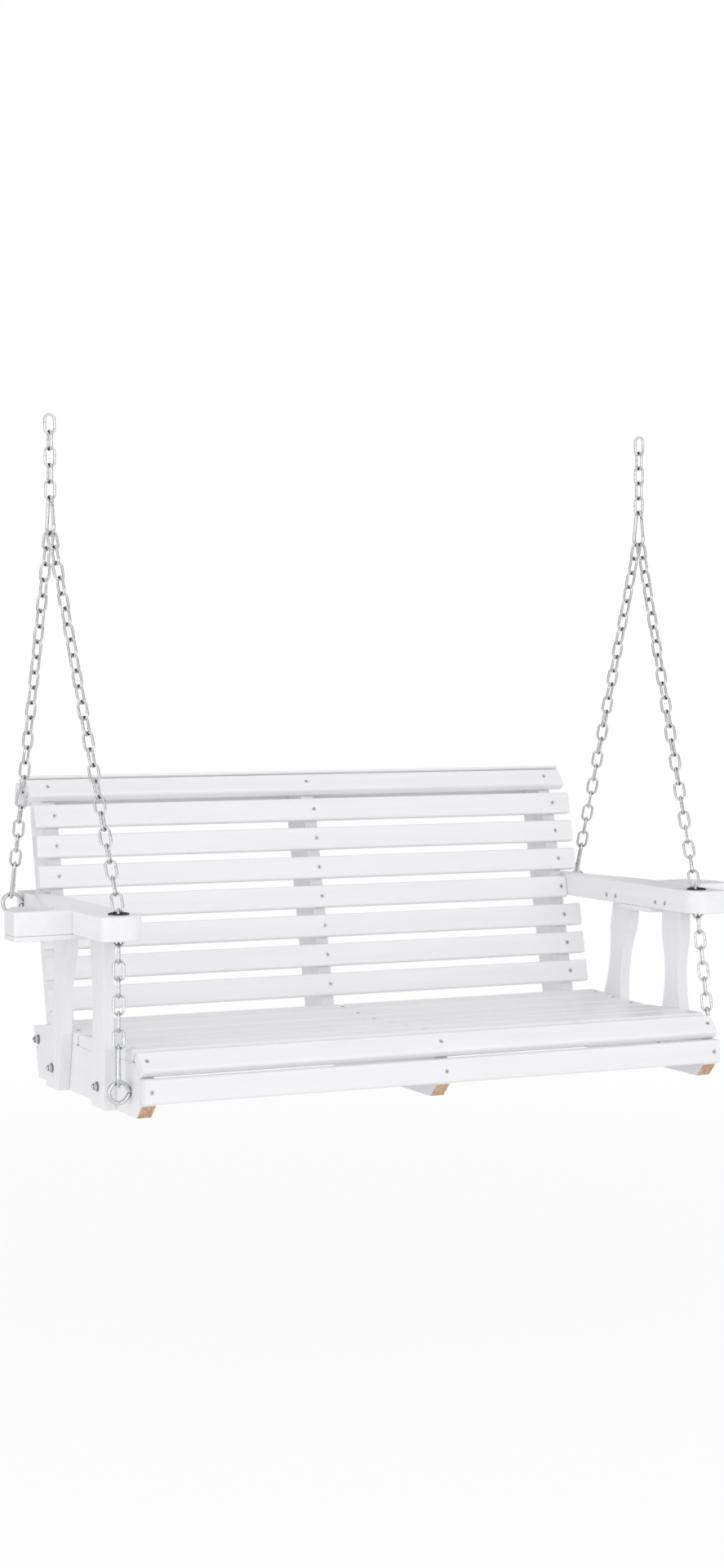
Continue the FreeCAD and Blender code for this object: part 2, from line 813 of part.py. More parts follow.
class ChainSet:
    """The hooks, gates, pins and links of one side, and the places that they turn about."""

    def __init__(self, side, front_ring, rear_ring):
        self.side = side
        self.outline = HookOutline()
        self.link = make_link()
        self.hook, self.pin = make_hook(self.outline)
        self.gate = make_gate(self.outline)
        self.up = Vector(0, 0, 1)
        self.across = Vector(1, 0, 0)
        self.hook_across = turned(self.up, self.across, apex_hook_turn)
        self.front_start = front_ring + self.up * eye_ring_radius
        self.rear_start = rear_ring + self.up * eye_ring_radius
        self.hooks = []
        self.pins = []
        self.gates = {}
        self.gate_axes = {}
        self.build_lower_front()
        self.solve_apex()
        self.build_upper_front()
        self.build_rear()
        self.build_apex_hook()

    def add_hook(self, name, place):
        """Put a hook, its pin and its gate at a placement, and keep the axis that opens the gate inwards."""
        self.hooks.append(placed(self.hook, place))
        self.pins.append(placed(self.pin, place))
        self.gates[name] = placed(self.gate, place)
        hinge = self.outline.on_side(self.outline.side_length - gate_hinge_inset)
        axis = place.Rotation.multVec(Vector(0, 1, 0))
        self.gate_axes[name] = (place.multVec(hinge), axis)

    def hook_on_ring(self, name, ring_top, along, turn):
        """A hook through the top of an eye bolt's ring. Returns the next link's lower wire centre."""
        low = ring_top - along * ring_contact
        self.add_hook(name, placement(low, along, turned(along, self.across, turn + 90)))
        return low + along * (self.outline.height - wire_contact)

    def build_lower_front(self):
        """From the front ring up to the bend at the grommet's rim."""
        x, y = grommet_centre
        aim = Vector(self.side * x, y, (arm_bottom + arm_top) / 2)
        along = unit(aim - self.front_start)
        first = self.hook_on_ring("front", self.front_start, along, lower_chain_turn)
        self.front_links, top_wire = run_of_links(
            self.link, first, along, self.across, front_lower_links, lower_chain_turn, lower_chain_turn
        )
        self.bend = top_wire - along * (2 * link_wire_radius + contact_gap)

    def gather_place(self, direction):
        """Where a chain rests on the apex hook's bend, from its lowest point, and the wire's course there."""
        angle = math.radians(gather_angle)
        sideways = direction * math.sin(angle)
        rise = hook_wide_radius * (1 - math.cos(angle))
        place = self.hook_across * (hook_wide_radius * sideways) + self.up * rise
        course = self.hook_across * math.cos(angle) + self.up * sideways
        return place, course

    def solve_apex(self):
        """Where the two chains, each of a whole number of links, meet in the plane of the side.

        The gather's small sideways part is left out, so that both sides come out level and alike.
        """
        link_run = 2 * link_half_reach - link_pitch
        front_reach = front_upper_links * link_pitch + link_run - wire_contact
        hook_run = self.outline.height - ring_contact - 2 * wire_contact
        rear_reach = hook_run + rear_links * link_pitch + link_run
        front_place, _ = self.gather_place(1)
        rear_place, _ = self.gather_place(-1)
        front_centre = self.bend - Vector(0, front_place.y, front_place.z)
        rear_centre = self.rear_start - Vector(0, rear_place.y, rear_place.z)
        apex_x = self.side * apex_offset
        front_flat = math.sqrt(front_reach ** 2 - (apex_x - front_centre.x) ** 2)
        rear_flat = math.sqrt(rear_reach ** 2 - (apex_x - rear_centre.x) ** 2)
        gap_y = rear_centre.y - front_centre.y
        gap_z = rear_centre.z - front_centre.z
        spread = math.hypot(gap_y, gap_z)
        foot = (front_flat ** 2 - rear_flat ** 2 + spread ** 2) / (2 * spread)
        rise = math.sqrt(front_flat ** 2 - foot ** 2)
        apex_y = front_centre.y + (gap_y * foot - gap_z * rise) / spread
        apex_z = front_centre.z + (gap_z * foot + gap_y * rise) / spread
        self.apex = Vector(apex_x, apex_y, apex_z)

    def closing_turn(self, along, course, count, first_turn):
        """The turn that sets a run's last link square to a hook's wire, nearest to the first turn."""
        turn = turn_between(along, self.across, along.cross(course)) - 90 * (count - 1)
        return turn - 180 * round((turn - first_turn) / 180)

    def build_upper_front(self):
        """From the grommet's rim up to the apex."""
        place, course = self.gather_place(1)
        along = unit(self.apex + place - self.bend)
        first_turn = lower_chain_turn + 90 * front_lower_links
        last_turn = self.closing_turn(along, course, front_upper_links, first_turn)
        links, _ = run_of_links(
            self.link, self.bend, along, self.across, front_upper_links, first_turn, last_turn
        )
        self.front_links.extend(links)

    def build_rear(self):
        """From the rear ring up to the apex."""
        place, course = self.gather_place(-1)
        along = unit(self.apex + place - self.rear_start)
        first = self.hook_on_ring("rear", self.rear_start, along, rear_chain_turn)
        last_turn = self.closing_turn(along, course, rear_links, rear_chain_turn)
        self.rear_run, _ = run_of_links(
            self.link, first, along, self.across, rear_links, rear_chain_turn, last_turn
        )

    def build_apex_hook(self):
        """The hook that gathers both chains, and the upper chain that it hangs from."""
        self.add_hook("apex", placement(self.apex, self.up, self.hook_across))
        first = self.apex + self.up * (self.outline.height - wire_contact)
        self.top_links, _ = run_of_links(
            self.link, first, self.up, self.across, top_chain_links, apex_hook_turn + 90, 0
        )
        self.wire_low = [first + self.up * (index * link_pitch) for index in range(top_chain_links)]


# The whole swing

def make_bolts():
    """Bolts, washers, nuts and their cutters, and the centres of the two right eye rings."""
    half_support = support_thickness / 2
    bolts = []
    washers = []
    nuts = []
    cutters = []
    for head_x, nut_x, place in (
        (back_inner, support_outer, end_bolt_place),
        (support_inner, post_outer, rear_post_bolt_place),
        (support_inner, post_outer, front_post_bolt_place),
    ):
        pieces = carriage_bolt(head_x, nut_x, *place)
        for group, piece in zip((bolts, washers, nuts, cutters), pieces):
            group.extend(both_sides(piece))
    centre_pieces = carriage_bolt(-half_support, half_support, *end_bolt_place)
    for group, piece in zip((bolts, washers, nuts, cutters), centre_pieces):
        group.append(piece)

    eyes = []
    rings = []
    for face_x, nut_x, place in (
        (support_outer, support_inner, front_eye_place),
        (arm_inner + arm_rear_width, back_inner, rear_eye_place),
    ):
        *pieces, ring_centre = make_eye_bolt(face_x, nut_x, *place)
        for group, piece in zip((eyes, washers, nuts, cutters), pieces):
            group.extend(both_sides(piece))
        rings.append(ring_centre)
    groups = {"carriage_bolts": bolts, "washers": washers, "hex_nuts": nuts, "eye_bolts": eyes}
    return groups, cutters, rings


def middle_of(first, second):
    """The point half-way between two YZ points."""
    return ((first[0] + second[0]) / 2, (first[1] + second[1]) / 2)


def make_slat_screws():
    """The screws in all the slats of the back and of the seat, with their cutters."""
    tilted_inward = tilted(tilt_angle - 90)
    back_places = [((lean_slope * height, height), back_rearward) for height in back_slat_heights]
    back_places.append((middle_of(*rail_section()[:2]), tilted_inward))
    back_places.append((middle_of(*rear_slat_section()[:2]), tilted(rear_slat_lean + 180)))
    seat_places = [(middle_of(rear, front), (0.0, -1.0)) for rear, front in seat_slat_lines()]
    seat_places.append((middle_of(*front_slat_section()[2:]), tilted_inward))
    seat_places.append((middle_of(*apron_section()[:2]), (1.0, 0.0)))
    pairs = []
    for support_face, places in ((support_inner, back_places), (support_outer, seat_places)):
        end_x = support_face - support_thickness / 2
        for x in (-end_x, 0.0, end_x):
            for middle, inward in places:
                pairs.append(screw_place(Vector(x, *middle), Vector(0, *inward)))
    screws = [screw for screw, _ in pairs]
    return screws, [cutter for _, cutter in pairs]


def make_arm_screws():
    """Two slanted screws from each arm's inner side down into each post, with their cutters."""
    drop = math.radians(arm_screw_drop)
    direction = Vector(math.cos(drop), 0, -math.sin(drop))
    screws = []
    cutters = []
    for post_top in (front_post_foot, rear_post_top):
        for offset in (-arm_screw_inset, arm_screw_inset):
            mouth = Vector(arm_inner, post_top + offset, arm_screw_height)
            start = mouth + direction * arm_screw_sink
            screw, cutter = screw_place(start, direction, arm_screw_length, arm_screw_pocket)
            screws.extend(both_sides(screw))
            cutters.extend(both_sides(cutter))
    return screws, cutters


def make_wood():
    """Every wooden piece by name, before it is drilled."""
    half_support = support_thickness / 2
    seat_lap = make_seat_support(-half_support, 0.0)
    back_lap = make_back_support(0.0, half_support)
    wood = {
        "seat_support_left": make_seat_support(-support_outer, -support_inner),
        "seat_support_centre": make_seat_support(-half_support, half_support).cut(back_lap),
        "seat_support_right": make_seat_support(support_inner, support_outer),
        "back_support_left": make_back_support(-support_inner, -back_inner),
        "back_support_centre": make_back_support(-half_support, half_support).cut(seat_lap),
        "back_support_right": make_back_support(back_inner, support_inner),
        "front_edge_slat": slat(front_slat_section(), radius=tilted_round),
        "apron_slat": slat(apron_section()),
        "top_rail_slat": slat(rail_section(), radius=tilted_round),
        "top_rear_slat": slat(rear_slat_section()),
    }
    cap_radii = [cap_front_round, slat_round, slat_round, 0.0, 0.0]
    wood["top_cap_board"] = yz_board(cap_section(), cap_radii, -half_length, half_length)
    for number, piece in enumerate(make_seat_slats(), start=1):
        wood[f"seat_slat_{number}"] = piece
    for number, piece in enumerate(make_back_slats(), start=1):
        wood[f"back_slat_{number}"] = piece
    for name, shape in (
        ("arm", make_arm()),
        ("front_post", make_post(front_post_foot, 0.0)),
        ("rear_post", make_post(rear_post_foot, rear_post_forward)),
        ("cup_holder", make_holder()),
        ("holder_plate", make_holder_plate()),
    ):
        left, right = both_sides(shape)
        wood[f"{name}_left"] = left
        wood[f"{name}_right"] = right
    return wood


def drilled(piece, cutters):
    """A piece with the holes of all the fasteners that come near it."""
    near = [cutter for cutter in cutters if cutter.BoundBox.intersect(piece.BoundBox)]
    return piece.cut(near) if near else piece


def build():
    """All nodes by name, each a list of shapes in bench coordinates, and both chain sets."""
    nodes, cutters, rings = make_bolts()
    nodes["slat_screws"], slat_cutters = make_slat_screws()
    nodes["arm_screws"], arm_cutters = make_arm_screws()
    cutters = cutters + slat_cutters + arm_cutters
    for name, piece in make_wood().items():
        nodes[name] = [drilled(piece, cutters)]
    nodes["grommets"] = both_sides(make_grommet(arm_top, 1)) + both_sides(make_grommet(arm_bottom, -1))

    sets = {}
    for name, side in (("left", -1), ("right", 1)):
        front_ring, rear_ring = [Vector(side * ring.x, ring.y, ring.z) for ring in rings]
        sets[name] = ChainSet(side, front_ring, rear_ring)
    for node in ("front_chains", "rear_chains", "snap_hooks", "gate_pins", "hanging_links"):
        nodes[node] = []
    for name, chain in sets.items():
        nodes["front_chains"] += chain.front_links
        nodes["rear_chains"] += chain.rear_run
        nodes["snap_hooks"] += chain.hooks
        nodes["gate_pins"] += chain.pins
        nodes["hanging_links"].append(chain.top_links[-1])
        nodes[f"second_link_{name}"] = [chain.top_links[-2]]
        nodes[f"upper_chain_{name}"] = chain.top_links[1:-2]
        nodes[f"last_link_{name}"] = [chain.top_links[0]]
        for place, gate in chain.gates.items():
            nodes[f"{place}_gate_{name}"] = [gate]
    return nodes, sets


def describe(sets, origin):
    """Print the joints' places in the finished frame, in millimetres."""
    for name, chain in sets.items():
        print(name, "bend above the arm", round(chain.bend.z - arm_top, 2))
        for label, point in (
            ("apex", chain.apex),
            ("swing pivot", chain.wire_low[-1]),
            ("sway pivot", chain.wire_low[-2]),
            ("level pivot", chain.wire_low[1]),
            ("tilt pivot", chain.wire_low[0]),
        ):
            print(name, label, [round(value, 3) for value in point - origin])
        for place, (point, axis) in chain.gate_axes.items():
            print(name, place, "gate", [round(value, 4) for value in point - origin])
            print(name, place, "gate axis", [round(value, 5) for value in axis])


def main():
    """Write one file per node, moved so that the origin is midway between the hanging points."""
    os.makedirs("parts", exist_ok=True)
    nodes, sets = build()
    hanging_point = sets["right"].wire_low[-1]
    origin = Vector(0, hanging_point.y, hanging_point.z)
    for name, shapes in nodes.items():
        solids = [solid.translated(origin * -1) for shape in shapes for solid in shape.Solids]
        shape = solids[0] if len(solids) == 1 else Part.makeCompound(solids)
        shape.exportStep(f"parts/{name}.step")
        print(name, len(solids))
    describe(sets, origin)


main()
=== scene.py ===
import json
import math

import bmesh
import bpy
import numpy
from mathutils import Euler, Matrix, Vector


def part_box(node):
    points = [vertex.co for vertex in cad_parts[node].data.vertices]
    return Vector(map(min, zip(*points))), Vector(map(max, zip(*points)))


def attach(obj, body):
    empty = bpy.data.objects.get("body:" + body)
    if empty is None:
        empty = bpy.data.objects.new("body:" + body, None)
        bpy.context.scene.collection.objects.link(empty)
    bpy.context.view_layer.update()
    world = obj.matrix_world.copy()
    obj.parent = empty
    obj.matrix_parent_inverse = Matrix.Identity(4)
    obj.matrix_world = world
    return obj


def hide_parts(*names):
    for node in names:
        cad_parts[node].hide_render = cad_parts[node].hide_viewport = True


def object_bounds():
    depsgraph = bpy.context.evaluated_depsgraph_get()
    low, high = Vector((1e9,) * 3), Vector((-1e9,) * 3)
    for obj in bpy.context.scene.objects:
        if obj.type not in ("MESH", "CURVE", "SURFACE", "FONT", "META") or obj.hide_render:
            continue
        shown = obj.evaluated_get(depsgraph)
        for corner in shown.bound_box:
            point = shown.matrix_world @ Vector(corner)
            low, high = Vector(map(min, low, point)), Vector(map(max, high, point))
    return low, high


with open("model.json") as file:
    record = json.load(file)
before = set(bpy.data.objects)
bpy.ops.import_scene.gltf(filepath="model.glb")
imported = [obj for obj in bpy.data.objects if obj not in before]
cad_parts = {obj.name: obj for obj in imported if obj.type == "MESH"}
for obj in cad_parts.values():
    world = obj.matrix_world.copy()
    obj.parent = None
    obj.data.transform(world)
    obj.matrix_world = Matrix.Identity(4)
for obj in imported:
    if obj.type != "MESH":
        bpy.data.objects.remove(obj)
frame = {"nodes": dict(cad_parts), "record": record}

nodes = frame["nodes"]
loaded_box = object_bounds()
BODY_OF_NODE = {
    node: body for body, members in frame["record"]["behaviour"]["bodies"].items() for node in members
}

# The photograph's camera, in metres from the bench's middle at the apron's lower edge.
# Its angles are in degrees, the sensor is in millimetres and the rest in photo pixels
CAMERA_PLACE = (-2.2601, -4.8767, 0.7740)
CAMERA_PITCH = 3.011
CAMERA_ROLL = 0.02
CAMERA_YAW = 25.4
FOCAL_PIXELS = 3353.1
PICTURE_HEIGHT = 1920
PRINCIPAL_DROP = 20.9
SENSOR = 36.0
# In metres: where the view starts, and the apron's front face from the bench's middle
CLIP_START = 0.1
APRON_FRONT = -0.477

# Paint, zinc, plastic and bare wood, as linear colours
PAINT_LIGHT = (0.872, 0.872, 0.886, 1.0)
PAINT_DEEP = (0.812, 0.812, 0.836, 1.0)
PAINT_SUNK = (0.600, 0.600, 0.620, 1.0)
PAINT_WORN = (0.700, 0.680, 0.650, 1.0)
# Dirt and painted shade: a warm grey laid into the paint's corners and joints where shade falls
PAINT_DIRT_AND_SHADE = (0.480, 0.465, 0.445, 1.0)
BARE_LIGHT = (0.690, 0.470, 0.300, 1.0)
BARE_DEEP = (0.360, 0.190, 0.095, 1.0)
BARE_STOPS = ((0.35, BARE_DEEP), (0.60, BARE_LIGHT))
ZINC_LIGHT = (0.700, 0.705, 0.715, 1.0)
ZINC_DEEP = (0.430, 0.435, 0.445, 1.0)
# Dirt and painted shade: near black laid into the zinc's crevices and where links touch
ZINC_DIRT_AND_SHADE = (0.060, 0.060, 0.062, 1.0)
SCREW_LIGHT = (0.740, 0.740, 0.755, 1.0)
SCREW_DEEP = (0.520, 0.520, 0.535, 1.0)
# Dirt and painted shade in the screw recesses
SCREW_DIRT_AND_SHADE = (0.230, 0.230, 0.240, 1.0)
BLACK_LIGHT = (0.030, 0.030, 0.032, 1.0)
BLACK_DEEP = (0.014, 0.014, 0.015, 1.0)

# Patterns in the paint: repeats per metre along and across the grain
FIBRE_SCALES = (9.0, 420.0)
RING_SCALES = (1.6, 46.0)
BRUSH_SCALES = (2.6, 900.0)
PORE_SCALES = (60.0, 700.0)
PATCH_SCALE = (7.0, 7.0, 7.0)
PATCH_OFFSET = (0.3, 1.7, 0.9)
STREAK_SCALE = (500.0, 60.0, 60.0)

# How much of the deeper colours the paint takes on
RING_SHARE = 0.60
PATCH_SHARE = 0.35
PORE_SHARE = 0.22
PORE_START = 0.66
PORE_END = 0.76
WORN_SHARES = (0.05, 0.65)
WORN_START = 0.42
WORN_END = 0.66
# Share of dirt and painted shade in the paint's deepest corners
PAINT_DIRT_AND_SHADE_SHARE = 0.28
PAINT_ROUGHNESS = (0.36, 0.48)
PAINT_GLOSS = 0.45

# Patterns in metal and plastic, in repeats per metre
CHAIN_SPANGLE = 260.0
BOLT_SPANGLE = 180.0
SPECK_SCALE = (1900.0, 1900.0, 1900.0)
STAIN_SCALE = (55.0, 55.0, 55.0)
STAIN_OFFSET = (2.0, 0.4, 1.1)
CELL_SCALE = (1400.0, 1400.0, 1400.0)
CLOUD_SCALE = (90.0, 90.0, 90.0)
SPANGLE_SHARE = 0.45
STAIN_SHARE = 0.5
STAIN_START = 0.5
STAIN_END = 0.75
ZINC_ROUGHNESS = (0.16, 0.32)
SCREW_ROUGHNESS = (0.30, 0.42)
PLASTIC_ROUGHNESS = (0.38, 0.55)

# Relief of each pattern: its strength, then its depth in metres
RING_RELIEF = (0.25, 0.0006)
FIBRE_RELIEF = (0.30, 0.0002)
BRUSH_RELIEF = (0.15, 0.0001)
SPANGLE_RELIEF = (0.20, 0.0001)
SPECK_RELIEF = (0.12, 0.00003)
CELL_RELIEF = (0.35, 0.0001)

# Softened edges, worn edges, and how far the painted shade in corners reaches, in metres
PAINT_EDGE = 0.0012
METAL_EDGE = 0.0004
PLASTIC_EDGE = 0.0006
WORN_REACH = 0.0022
CORNER_REACH = 0.006
# How many times the shader looks round for edges and for corners
EDGE_SAMPLES = 4
CORNER_SAMPLES = 8

# The softened normal's likeness to the true one, from well round an edge to flat
LIKENESS_AT_EDGE = 0.86
LIKENESS_ON_FLAT = 0.985
# How open a place is, from deep in a corner to clear, over which the painted shade fades out
PAINT_OPENNESS = (0.15, 0.75)
METAL_OPENNESS = (0.30, 0.92)
# A normal's forward or downward part, from surely bare wood to surely paint
BARE_SURELY = -0.5
PAINT_SURELY = -0.45

# The colour mix node's sockets
MIX_SHARE = 0
MIX_FIRST = 6
MIX_SECOND = 7
MIX_RESULT = 2

# Chain links, whose outer size comes from the frame. All lengths are in metres
LINK_BEND_STEPS = 14
LINK_STRAIGHT_STEPS = 14
WIRE_SIDES = 14
WELD_SWELL = 0.14
WELD_HALF_LENGTH = 0.0026

# Eye bolts
EYE_WIRE = 0.00375
EYE_POINT_REACH = 0.0222
EYE_STEPS = 40
EYE_END_GAP = 0.0036
EYE_BEND_RADIUS = 0.005
EYE_BEND_STEPS = 6
SHANK_OVERLAP = 0.004

# Threads, screws and bolts. The angles among them are in radians
THREAD_PITCH = 0.00125
THREAD_DEPTH = 0.0006
THREAD_STEPS = 5
THREAD_LENGTH = 0.014
END_CHAMFER = 0.0007
SPOKES = 24
TIP_RADIUS = 0.0003
SCREW_POINT = 0.006
SCREW_HEAD = 0.0042
SCREW_SHANK = 0.0021
SCREW_CONE = 0.0026
RECESS_DEPTH = 0.0019
RECESS_ARM = 0.0025
RECESS_HALF_WIDTH = 0.00062
RECESS_TAPER = 0.62
RECESS_MID_ANGLE = 0.5
ANGLE_TOLERANCE = 1e-9
HEAD_EDGE = 0.00025
BOLT_HEAD = 0.010
BOLT_DOME = 0.0042
BOLT_SHANK = 0.004
DOME_STEPS = 8

# Floor and background
FLOOR_DROP = 0.42
FLOOR_REACH = 30.0
FLOOR_COLOUR = (0.86, 0.86, 0.87, 1.0)
FLOOR_ROUGHNESS = 0.9
# How white the floor is near the object, and between which distances it fades to plain white
FLOOR_NEAR = 0.87
FADE_START = 1.2
FADE_END = 4.0
# Light from the sides and from straight above, and a direction's upward part where it starts to change
WORLD_SIDES = 1.0
WORLD_TOP = 0.80
WORLD_RISE = 0.1

# Lamps: places from their aim in metres, sizes in metres, and watts
AIM_FROM_BENCH = (0.0, -0.15, 0.35)
LAMPS = {
    "key": ((0.0, -4.8, 0.3), (3.6, 2.6), 38.0),
    "left": ((-4.4, -1.2, 0.3), (2.4, 2.4), 25.0),
    "right": ((4.4, -1.2, 0.8), (2.4, 2.4), 7.0),
}

# Dark panels behind the swing, in degrees either side of the camera's line and metres away
PANEL_COLOUR = (0.02, 0.02, 0.02, 1.0)
PANEL_TURN = 48.0
PANEL_DISTANCE = 3.6
PANEL_RISE = 0.4
PANEL_WIDTH = 5.4
PANEL_HEIGHT = 4.6

# Corners closer than this many metres are one, and edges sharper than this many degrees stay sharp
WELD_DISTANCE = 1e-6
SMOOTH_ANGLE = 35.0


# Shader helpers

def new_material(name):
    """A material with its node tree and surface shader."""
    material = bpy.data.materials.new(name)
    material.use_nodes = True
    tree = material.node_tree
    shader = tree.nodes["Principled BSDF"]
    return material, tree, shader


def add(tree, kind, **settings):
    """A node of a kind, with its plain settings."""
    made = tree.nodes.new(kind)
    for name, value in settings.items():
        setattr(made, name, value)
    return made


def stretched(tree, scale, offset=(0.0, 0.0, 0.0)):
    """Places on the object, scaled by a different amount along each axis."""
    place = add(tree, "ShaderNodeTexCoord")
    mapping = add(tree, "ShaderNodeMapping")
    mapping.inputs["Scale"].default_value = scale
    mapping.inputs["Location"].default_value = offset
    tree.links.new(place.outputs["Object"], mapping.inputs["Vector"])
    return mapping.outputs["Vector"]


def noise(tree, vector, detail=3.0, roughness=0.5, distortion=0.0):
    """A noise value at places that are already scaled."""
    made = add(tree, "ShaderNodeTexNoise")
    made.inputs["Scale"].default_value = 1.0
    made.inputs["Detail"].default_value = detail
    made.inputs["Roughness"].default_value = roughness
    made.inputs["Distortion"].default_value = distortion
    tree.links.new(vector, made.inputs["Vector"])
    return made.outputs["Fac"]


def ramp(tree, value, stops):
    """A colour from a value, through (position, colour) stops."""
    made = add(tree, "ShaderNodeValToRGB")
    elements = made.color_ramp.elements
    while len(elements) < len(stops):
        elements.new(0.5)
    for element, (position, colour) in zip(elements, stops):
        element.position = position
        element.color = colour
    tree.links.new(value, made.inputs["Fac"])
    return made.outputs["Color"]


def spread(tree, value, low, high, start=0.3, end=0.7, easing="LINEAR"):
    """A value spread between two limits."""
    made = add(tree, "ShaderNodeMapRange", interpolation_type=easing)
    made.inputs["From Min"].default_value = start
    made.inputs["From Max"].default_value = end
    made.inputs["To Min"].default_value = low
    made.inputs["To Max"].default_value = high
    tree.links.new(value, made.inputs["Value"])
    return made.outputs["Result"]


def combined(tree, operation, first, second):
    """Two values put together by an operation."""
    made = add(tree, "ShaderNodeMath", operation=operation)
    tree.links.new(first, made.inputs[0])
    tree.links.new(second, made.inputs[1])
    return made.outputs["Value"]


def mixed(tree, share, first, second):
    """Two colours mixed by a share. Each colour is a socket or a plain one."""
    made = add(tree, "ShaderNodeMix", data_type="RGBA")
    for index, value in ((MIX_SHARE, share), (MIX_FIRST, first), (MIX_SECOND, second)):
        if isinstance(value, tuple):
            made.inputs[index].default_value = value
        else:
            tree.links.new(value, made.inputs[index])
    return made.outputs[MIX_RESULT]


def bumped(tree, shader, layers, edge_radius):
    """Relief layers, each a height with its relief, over softened edges."""
    soft = add(tree, "ShaderNodeBevel", samples=EDGE_SAMPLES)
    soft.inputs["Radius"].default_value = edge_radius
    normal = soft.outputs["Normal"]
    for height, (strength, depth) in layers:
        made = add(tree, "ShaderNodeBump")
        made.inputs["Strength"].default_value = strength
        made.inputs["Distance"].default_value = depth
        tree.links.new(height, made.inputs["Height"])
        tree.links.new(normal, made.inputs["Normal"])
        normal = made.outputs["Normal"]
    tree.links.new(normal, shader.inputs["Normal"])


def near_edges(tree, radius):
    """One along outer and inner edges, fading to nought on flat stretches."""
    soft = add(tree, "ShaderNodeBevel", samples=EDGE_SAMPLES)
    soft.inputs["Radius"].default_value = radius
    geometry = add(tree, "ShaderNodeNewGeometry")
    likeness = add(tree, "ShaderNodeVectorMath", operation="DOT_PRODUCT")
    tree.links.new(soft.outputs["Normal"], likeness.inputs[0])
    tree.links.new(geometry.outputs["Normal"], likeness.inputs[1])
    return spread(tree, likeness.outputs["Value"], 1.0, 0.0, LIKENESS_AT_EDGE, LIKENESS_ON_FLAT)


def shade_in_corners(tree, openness):
    """One deep in corners and joints, where shade falls, nought in the open. It masks painted shade."""
    hollow = add(tree, "ShaderNodeAmbientOcclusion", samples=CORNER_SAMPLES)
    hollow.inputs["Distance"].default_value = CORNER_REACH
    return spread(tree, hollow.outputs["AO"], 1.0, 0.0, *openness)


def grain(tree, axis, scales, **settings):
    """A noise that is drawn out along one axis."""
    along, across = scales
    scale = [across, across, across]
    scale[axis] = along
    return noise(tree, stretched(tree, scale), **settings)


def bare_share(tree):
    """One on faces that look forward and down, nought elsewhere."""
    place = add(tree, "ShaderNodeTexCoord")
    split = add(tree, "ShaderNodeSeparateXYZ")
    tree.links.new(place.outputs["Normal"], split.inputs["Vector"])
    forward = spread(tree, split.outputs["Y"], 1.0, 0.0, BARE_SURELY, PAINT_SURELY)
    down = spread(tree, split.outputs["Z"], 1.0, 0.0, BARE_SURELY, PAINT_SURELY)
    return combined(tree, "MULTIPLY", forward, down)


def painted_wood(name, axis, bare_undercut=False):
    """White paint over wood whose grain runs along one axis."""
    material, tree, shader = new_material(name)
    fibres = grain(tree, axis, FIBRE_SCALES, detail=5.0, roughness=0.62, distortion=0.15)
    rings = grain(tree, axis, RING_SCALES, detail=3.0, roughness=0.55, distortion=0.6)
    brush = grain(tree, axis, BRUSH_SCALES, detail=2.0)
    pores = grain(tree, axis, PORE_SCALES, detail=2.0)
    patches = noise(tree, stretched(tree, PATCH_SCALE, PATCH_OFFSET), detail=4.0, roughness=0.6)
    tone = mixed(tree, spread(tree, rings, 0.0, RING_SHARE), PAINT_LIGHT, PAINT_DEEP)
    tone = mixed(tree, spread(tree, patches, 0.0, PATCH_SHARE), tone, PAINT_DEEP)
    tone = mixed(tree, spread(tree, pores, 0.0, PORE_SHARE, PORE_START, PORE_END), tone, PAINT_SUNK)
    patchy = spread(tree, patches, *WORN_SHARES, WORN_START, WORN_END)
    rubbed = combined(tree, "MULTIPLY", near_edges(tree, WORN_REACH), patchy)
    tone = mixed(tree, rubbed, tone, PAINT_WORN)
    # Dirt and painted shade: corners and joints of the paint darkened where shade falls, by ambient
    # occlusion
    dirt_and_shade_share = spread(tree, shade_in_corners(tree, PAINT_OPENNESS), 0.0, PAINT_DIRT_AND_SHADE_SHARE, 0.0, 1.0)
    tone = mixed(tree, dirt_and_shade_share, tone, PAINT_DIRT_AND_SHADE)
    if bare_undercut:
        streaks = noise(tree, stretched(tree, STREAK_SCALE), detail=4.0, roughness=0.6, distortion=0.4)
        bare = ramp(tree, streaks, BARE_STOPS)
        tone = mixed(tree, bare_share(tree), tone, bare)
    tree.links.new(tone, shader.inputs["Base Color"])
    tree.links.new(spread(tree, patches, *PAINT_ROUGHNESS), shader.inputs["Roughness"])
    layers = [(rings, RING_RELIEF), (fibres, FIBRE_RELIEF), (brush, BRUSH_RELIEF)]
    bumped(tree, shader, layers, PAINT_EDGE)
    shader.inputs["Specular IOR Level"].default_value = PAINT_GLOSS
    return material


